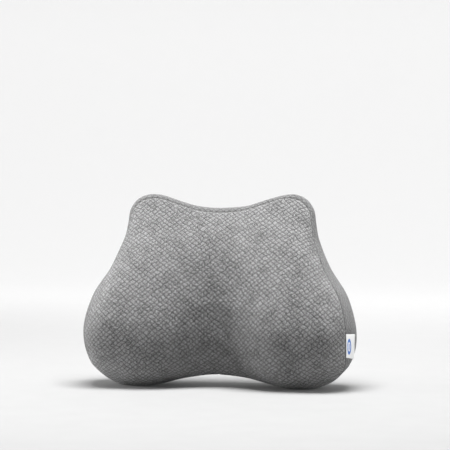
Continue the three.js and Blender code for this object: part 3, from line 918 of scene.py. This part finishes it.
class Finish:
    """A material whose nodes are added one by one."""

    def __init__(self, name, roughness, sheen=0.0, metallic=0.0):
        self.material = bpy.data.materials.new(name)
        self.material.use_nodes = True
        self.nodes = self.material.node_tree.nodes
        self.links = self.material.node_tree.links
        self.surface = self.nodes["Principled BSDF"]
        self.set("Roughness", roughness)
        self.set("Metallic", metallic)
        self.set("Sheen Weight", sheen)
        self.set("Sheen Roughness", 0.6)

    def put(self, socket, value):
        if isinstance(value, bpy.types.NodeSocket):
            self.links.new(value, socket)
        else:
            socket.default_value = value

    def set(self, name, value):
        self.put(self.surface.inputs[name], value)

    def node(self, kind, inputs, output=0, **settings):
        """An output of a new node that has these settings and inputs."""
        node = self.nodes.new("ShaderNode" + kind)
        for name, value in settings.items():
            setattr(node, name, value)
        for name, value in inputs.items():
            self.put(node.inputs[name], value)
        return node.outputs[output]

    def math(self, operation, *values):
        return self.node("Math", dict(enumerate(values)), operation=operation)

    times = partialmethod(math, "MULTIPLY")
    plus = partialmethod(math, "ADD")
    minus = partialmethod(math, "SUBTRACT")
    times_plus = partialmethod(math, "MULTIPLY_ADD")
    absolute = partialmethod(math, "ABSOLUTE")
    sine = partialmethod(math, "SINE")

    def stripes(self, value, period):
        """Even stripes, from -1 to 1, across a value."""
        return self.sine(self.times(value, TURN / period))

    def ease(self, *values):
        """A value eased from a low and high bound into two others, or into 0 to 1."""
        return self.node("MapRange", dict(enumerate(values)), interpolation_type="SMOOTHSTEP")

    def mix(self, share, low, high):
        return self.node("Mix", {0: share, 6: low, 7: high}, 2, data_type="RGBA")

    def vector(self, *values):
        return self.node("CombineXYZ", dict(enumerate(values)))

    def along(self, vector):
        """The three parts of a vector."""
        node = self.nodes.new("ShaderNodeSeparateXYZ")
        self.put(node.inputs[0], vector)
        return list(node.outputs)

    def uv(self, name):
        return self.along(self.node("UVMap", {}, uv_map=name))[:2]

    def along_cloth(self):
        """Millimetres to the right and up along the piece's cloth."""
        return [self.times(value, 1000.0) for value in self.uv("cloth")]

    def in_room(self):
        """Millimetres along X, Y and Z at rest."""
        return [self.times(value, 1000.0) for value in self.along(self.node("TexCoord", {}, "Object"))]

    def noise(self, vector, scale, detail=2.0, roughness=0.5):
        inputs = {"Vector": vector, "Scale": scale, "Detail": detail, "Roughness": roughness}
        return self.node("TexNoise", inputs)

    def per_cell(self, u, v):
        """A random number for each whole cell."""
        cell = self.vector(self.math("FLOOR", u), self.math("FLOOR", v))
        return self.node("TexWhiteNoise", {"Vector": cell}, "Value", noise_dimensions="2D")

    def bump(self, height, distance, strength=1.0, **under):
        return self.node("Bump", {"Strength": strength, "Distance": distance, "Height": height, **under})


def grey(level, warmth=0.0):
    return (level * (1 + warmth), level, level * (1 - warmth), 1.0)


KNIT_DARK = 0.035          # the greys of the front's yarn
KNIT_LIGHT = 0.42
# painted shade: the dark grey of the knit's sunken grooves and of the gusset's dimples
GROOVE_SHADE_GREY = grey(0.02)
WALE = 1.15                # width of one knit stitch, in millimetres
COURSE = 0.95              # and its height
JERSEY_ROW = 0.8           # the same for the liner
JERSEY_RIB = 0.9
TWILL = 0.7                # the tape's diagonal lines
TWIST = 0.5                # the sewing thread's


def knit_stitches(f, u, v):
    """Height of the V-shaped stitches from 0 to 1, and a random number for each."""
    wale = f.times(u, 1 / WALE)
    course = f.times(v, 1 / COURSE)
    across = f.absolute(f.minus(f.math("FRACT", wale), 0.5))
    slant = f.plus(course, f.times(across, 1.3))
    wave = f.sine(f.times(slant, TURN))
    thread = f.times_plus(wave, 0.5, 0.5)
    gap = f.ease(across, 0.34, 0.5, 1.0, 0.25)
    spine = f.ease(across, 0.0, 0.1, 0.45, 1.0)
    height = f.times(f.times(thread, gap), spine)
    return height, f.per_cell(wale, slant)


def heather(f, u, v, dark, light, stitch):
    """Melange yarn: fibres of two greys, mixed afresh in every stitch and in streaks along the yarn."""
    fibre = f.noise(f.vector(f.times(u, 1.6), v), 1.1, 3.0, 0.7)
    flecked = f.vector(f.times(u, 0.7), f.times(v, 1.8))
    fleck = f.noise(flecked, 0.62, 2.0, 0.75)
    cloudy = f.noise(f.vector(u, v), 0.035, 2.0, 0.5)
    share = f.times_plus(stitch, 0.3, f.times(fibre, 0.7))
    share = f.plus(share, f.times_plus(fleck, 3.0, -1.5))
    share = f.plus(share, f.times_plus(cloudy, 0.5, -0.25))
    return f.mix(f.ease(share, 0.16, 0.72), dark, light)


def nubs(f, cells):
    """Height of the lattice's diamonds, from 0 in the grooves to 1."""
    across = [f.absolute(f.minus(f.math("FRACT", cell), 0.5)) for cell in cells]
    return f.ease(f.math("MINIMUM", *across), 0.0, 0.2)


def diamond_knit():
    """The front: melange knit whose diamonds are parted by sunken lines, with painted shade in those lines
    and between the stitches.
    """
    f = Finish("diamond knit", 0.93, sheen=0.12)
    u, v = f.along_cloth()
    cells = f.uv("cells")
    nub = nubs(f, cells)
    own = f.per_cell(*[f.plus(cell, 0.5) for cell in cells])
    height, stitch = knit_stitches(f, u, v)
    own_stitch = f.times_plus(own, 0.45, stitch)
    yarn = heather(f, u, v, grey(KNIT_DARK), grey(KNIT_LIGHT), own_stitch)
    # painted shade in the sunken grooves between the diamonds
    colour = f.mix(nub, f.mix(0.7, yarn, GROOVE_SHADE_GREY), yarn)
    # painted shade between the stitches: the colour darkens where the stitches are low
    f.set("Base Color", f.mix(f.times_plus(height, 0.35, 0.65), grey(0.03), colour))
    f.set("Roughness", f.times_plus(stitch, 0.1, 0.86))
    raised = f.bump(nub, 0.3 * MM)
    f.set("Normal", f.bump(height, 0.35 * MM, 0.8, Normal=raised))
    return f.material


def plain_knit(name, dark, light, dimples=0.0):
    """The gusset and the back: the same yarn knitted nearly flat, with painted shade between the stitches,
    over a faint lattice of dimples drawn only as painted shade.
    """
    f = Finish(name, 0.93, sheen=0.12)
    u, v = f.along_cloth()
    height, stitch = knit_stitches(f, u, v)
    yarn = heather(f, u, v, grey(dark), grey(light), f.times(stitch, 2.6))
    if dimples:
        stray = f.noise(f.vector(u, v), 0.05, 2.0)
        wide = f.plus(f.times(u, MM / LATTICE_WIDE), stray)
        tall = f.times(v, MM / LATTICE_TALL)
        nub = nubs(f, [f.plus(wide, tall), f.minus(wide, tall)])
        # painted shade in the dimples, which have no relief of their own
        yarn = f.mix(nub, f.mix(dimples, yarn, GROOVE_SHADE_GREY), yarn)
    # painted shade between the stitches: the colour darkens where the stitches are low
    f.set("Base Color", f.mix(f.times_plus(height, 0.4, 0.6), grey(0.04), yarn))
    f.set("Roughness", f.times_plus(stitch, 0.1, 0.86))
    ridge = f.noise(f.vector(u, f.times(v, 0.2)), 0.3, 2.0)
    f.set("Normal", f.bump(height, 0.35 * MM, 0.8, Normal=f.bump(ridge, 0.4 * MM, 0.5)))
    return f.material


def liner_cloth():
    """Thin pale jersey."""
    f = Finish("liner jersey", 0.9, sheen=0.2)
    x, y, z = f.in_room()
    rows = f.stripes(z, JERSEY_ROW)
    ribs = f.stripes(f.plus(x, y), JERSEY_RIB)
    knitted = f.times_plus(f.times(rows, ribs), 0.5, 0.5)
    cloudy = f.noise(f.vector(x, y, z), 0.08, 3.0)
    f.set("Base Color", f.mix(f.times(knitted, cloudy), grey(0.72, 0.02), grey(0.6, 0.02)))
    f.set("Normal", f.bump(knitted, 0.15 * MM, 0.7))
    return f.material


def memory_foam():
    """Cream foam with fine open cells."""
    f = Finish("memory foam", 0.96)
    position = f.vector(*f.in_room())
    cells = f.node("TexVoronoi", {"Vector": position, "Scale": 1.1}, "Distance")
    pores = f.ease(cells, 0.1, 0.6)
    cloudy = f.noise(position, 0.03, 3.0)
    # painted shade in the open cells: the colour darkens towards each cell's middle
    cream, shade = (0.82, 0.76, 0.6, 1), (0.62, 0.54, 0.36, 1)
    f.set("Base Color", f.mix(f.times(pores, cloudy), shade, cream))
    f.set("Normal", f.bump(pores, 0.3 * MM, 0.8))
    f.set("Subsurface Weight", 0.05)
    return f.material


def woven_tape():
    """Zip tape: a fine herringbone."""
    f = Finish("zip tape twill", 0.85, sheen=0.1)
    u, v = f.along_cloth()
    zigzag = f.math("PINGPONG", u, 2.0)
    twill = f.stripes(f.plus(v, zigzag), TWILL)
    thread = f.times_plus(twill, 0.5, 0.5)
    fibre = f.noise(f.vector(u, v), 1.6, 3.0, 0.7)
    f.set("Base Color", f.mix(f.times(thread, fibre), grey(0.055), grey(0.2)))
    f.set("Normal", f.bump(thread, 0.15 * MM, 0.8))
    return f.material


def tooth_plastic():
    """Grey moulded plastic."""
    f = Finish("zip tooth plastic", 0.45)
    x, y, z = f.in_room()
    speckle = f.noise(f.vector(x, y, z), 2.5, 3.0)
    f.set("Base Color", f.mix(speckle, grey(0.12), grey(0.2)))
    f.set("Roughness", f.ease(speckle, 0.2, 0.8, 0.36, 0.58))
    f.set("Normal", f.bump(speckle, 0.03 * MM, 0.5))
    return f.material


def zip_metal():
    """Dark nickel with fine wear."""
    f = Finish("zip metal", 0.35, metallic=1.0)
    x, y, z = f.in_room()
    brushed = f.noise(f.vector(f.times(x, 0.3), y, f.times(z, 4.0)), 1.2, 3.0, 0.6)
    worn = f.noise(f.vector(x, y, z), 0.5, 4.0, 0.6)
    f.set("Base Color", f.mix(f.ease(worn, 0.35, 0.65), grey(0.32), grey(0.5)))
    f.set("Roughness", f.ease(brushed, 0.25, 0.75, 0.24, 0.46))
    f.set("Normal", f.bump(brushed, 0.02 * MM, 0.6))
    return f.material


def sewing_thread():
    """Twisted thread."""
    f = Finish("sewing thread", 0.8, sheen=0.2)
    x, _, z = f.in_room()
    twist = f.stripes(f.plus(x, z), TWIST)
    f.set("Base Color", f.mix(f.times_plus(twist, 0.5, 0.5), grey(0.14), grey(0.26)))
    f.set("Normal", f.bump(twist, 0.05 * MM, 0.6))
    return f.material


MOTIF_MIDDLE = (9.0, 18.0)           # on the label, in millimetres
MOTIF_HALF_SIZE = (5.2, 12.0)
MOTIF_RING = 0.82                    # where the ring is and how wide, in half sizes
MOTIF_LINE = 0.24
MOTIF_BLUE = (0.03, 0.16, 0.55, 1)
LABEL_MIDDLE = 18.5                  # half the label's height, and where its hems start from there
LABEL_HEMS = (16.6, 17.2)


def satin_label():
    """White satin with a plain blue mark: a tall ring with a bar inside it."""
    f = Finish("label satin", 0.5, sheen=0.2)
    u, v = f.along_cloth()
    across, up = (
        f.math("DIVIDE", f.minus(value, middle), half)
        for value, middle, half in zip((u, v), MOTIF_MIDDLE, MOTIF_HALF_SIZE)
    )
    away = f.math("SQRT", f.plus(f.times(across, across), f.times(up, up)))
    off_ring = f.absolute(f.minus(away, MOTIF_RING))
    ring = f.ease(off_ring, MOTIF_LINE - 0.05, MOTIF_LINE, 1.0, 0.0)
    bar_side = f.ease(f.absolute(across), 0.16, 0.24, 1.0, 0.0)
    bar_end = f.ease(f.absolute(up), 0.34, 0.38, 1.0, 0.0)
    mark = f.math("MAXIMUM", ring, f.times(bar_side, bar_end))
    weave = f.noise(f.vector(f.times(u, 0.4), f.times(v, 4.0)), 1.5, 2.0)
    hem = f.ease(f.absolute(f.minus(v, LABEL_MIDDLE)), *LABEL_HEMS, 0.0, 0.12)
    white = f.mix(f.plus(f.times(weave, 0.3), hem), grey(0.86), grey(0.66))
    f.set("Base Color", f.mix(mark, white, MOTIF_BLUE))
    f.set("Roughness", f.ease(weave, 0.3, 0.7, 0.42, 0.6))
    f.set("Normal", f.bump(weave, 0.05 * MM, 0.6))
    return f.material


# ------------------------------------------------------------------ pieces in place


def finish_piece(piece, nodes, material, body="cushion"):
    """Gives a piece its finish and body, and hides the CAD nodes that it stands for."""
    piece.data.materials.clear()
    piece.data.materials.append(material)
    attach(piece, body)
    if nodes:
        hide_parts(*nodes)
    return piece


PLAIN = plain_knit("plain knit", 0.05, 0.25)
BAND = plain_knit("gusset knit", 0.045, 0.27, dimples=0.6)
METAL = zip_metal()
THREAD = sewing_thread()
TAPE = woven_tape()
TEETH = tooth_plastic()
LINER = liner_cloth()

for piece in (
    finish_piece(front_panel(), ["cover_front_panel"], diamond_knit()),
    finish_piece(gusset(), ["cover_gusset"], BAND),
):
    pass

for end, side in (("upper", 1), ("lower", -1)):
    cloth_piece, cloth_surface = back_panel("back_" + end, side)
    finish_piece(cloth_piece, ["cover_back_" + end], PLAIN)
    finish_piece(opening_stitches("zip_stitches_" + end, cloth_surface, side), [], THREAD)
    finish_piece(zip_tape("zip_tape_" + end, side), ["zip_tape_" + end], TAPE)
    finish_piece(zip_teeth("zip_teeth_" + end, side), ["zip_teeth_" + end], TEETH)
    stop = "zip_top_stop_" + end
    finish_piece(rounded(stop, 0.18 * MM), [stop], METAL)

finish_piece(rounded("zip_bottom_stop", 0.25 * MM), ["zip_bottom_stop"], METAL)
finish_piece(rounded("zip_slider", 0.22 * MM), ["zip_slider"], METAL, "slider")
finish_piece(rounded("zip_pull", 0.16 * MM), ["zip_pull"], METAL, "pull")

label = finish_piece(side_label(), ["side_label"], satin_label())

liner_front, liner_back, foam = liner_and_foam()
finish_piece(liner_front, ["liner_front"], LINER)
finish_piece(liner_back, ["liner_back"], LINER)
finish_piece(foam, ["foam_core"], memory_foam())


# ------------------------------------------------------------------ stage, light and camera


FLOOR_RADIUS = 2.7         # metres, to where the floor starts to curve up
WALL_CURVE = 0.9
WALL_STEPS = 12            # of the curve, from level to upright
WALL_TOP = 4.5
SECTORS = 72
GLOW = 0.66                # how strongly the paper glows far behind the cushion
GLOW_REACH = (-300.0, 2200.0)        # where along Y its glow starts and is full, in millimetres


def backdrop():
    """A pale round floor that curves up into a wall on all sides."""
    profile = [(0.3, 0.0), (1.2, 0.0), (FLOOR_RADIUS, 0.0)]
    for k in range(1, WALL_STEPS + 1):
        angle = TURN / 4 * k / WALL_STEPS
        profile.append((FLOOR_RADIUS + WALL_CURVE * math.sin(angle), WALL_CURVE * (1 - math.cos(angle))))
    profile.append((FLOOR_RADIUS + WALL_CURVE, WALL_TOP))
    points = [(0.0, 0.0, 0.0)]
    for radius, z in profile:
        for angle in np.linspace(0, TURN, SECTORS, endpoint=False):
            points.append((radius * math.sin(angle), -radius * math.cos(angle), z))
    rings = wrap(numbers(len(profile), SECTORS, 1))
    faces = [(0, *pair) for pair in zip(rings[0, :-1], rings[0, 1:])]
    piece = new_mesh("backdrop", points, faces + quads(rings.T))
    paper = Finish("backdrop paper", 0.9)
    x, y, z = paper.in_room()
    grain = paper.noise(paper.vector(x, y, z), 0.02, 2.0)
    paper.set("Base Color", paper.mix(grain, grey(0.33), grey(0.35)))
    paper.set("Emission Color", grey(1.0))
    paper.set("Emission Strength", paper.ease(y, *GLOW_REACH, 0.0, GLOW))
    piece.data.materials.append(paper.material)
    return piece


def aim(thing, position, way):
    """Puts a light or camera at a position, facing that way."""
    thing.location = position
    thing.rotation_euler = way.to_track_quat("-Z", "Y").to_euler()


# name: size, position, what it points at and power
LIGHTS = {
    "key": ((1.3, 0.7), (0.08, -0.24, 1.8), (0, 0, 0.12), 78),
    "left side": ((0.6, 0.3), (-1.5, -0.2, 0.24), (0, 0, 0.07), 20),
    "right side": ((0.6, 0.3), (1.55, 0.0, 0.24), (0, 0, 0.07), 8),
}
WORLD_LIGHT = 0.05
CAMERA_AZIMUTH = math.radians(10)
CAMERA_ELEVATION = math.radians(1.2)
CAMERA_DISTANCE = 2.4
CAMERA_TARGET = Vector((0.0128, 0.0, 0.2563))
CAMERA_LENS = 121.9
CAMERA_SENSOR = 36


def light(name, size, position, target, power):
    """A soft rectangular light."""
    lamp = bpy.data.lights.new(name, "AREA")
    lamp.shape = "RECTANGLE"
    lamp.size, lamp.size_y = size
    lamp.energy = power
    aim(place(name, lamp), position, Vector(target) - Vector(position))


def camera():
    """The camera, in front of the cushion and a little to its right."""
    view = bpy.data.cameras.new("camera")
    view.lens = CAMERA_LENS
    view.sensor_width = CAMERA_SENSOR
    thing = place("camera", view)
    away = Vector((
        math.sin(CAMERA_AZIMUTH) * math.cos(CAMERA_ELEVATION),
        -math.cos(CAMERA_AZIMUTH) * math.cos(CAMERA_ELEVATION),
        math.sin(CAMERA_ELEVATION),
    ))
    aim(thing, CAMERA_TARGET + away * CAMERA_DISTANCE, -away)
    bpy.context.scene.camera = thing


backdrop()
for name, setting in LIGHTS.items():
    light(name, *setting)
world = bpy.data.worlds.new("studio")
world.use_nodes = True
world_inputs = world.node_tree.nodes["Background"].inputs
world_inputs["Color"].default_value = (1, 1, 1, 1)
world_inputs["Strength"].default_value = WORLD_LIGHT
bpy.context.scene.world = world
bpy.context.scene.view_settings.view_transform = "Standard"
camera()
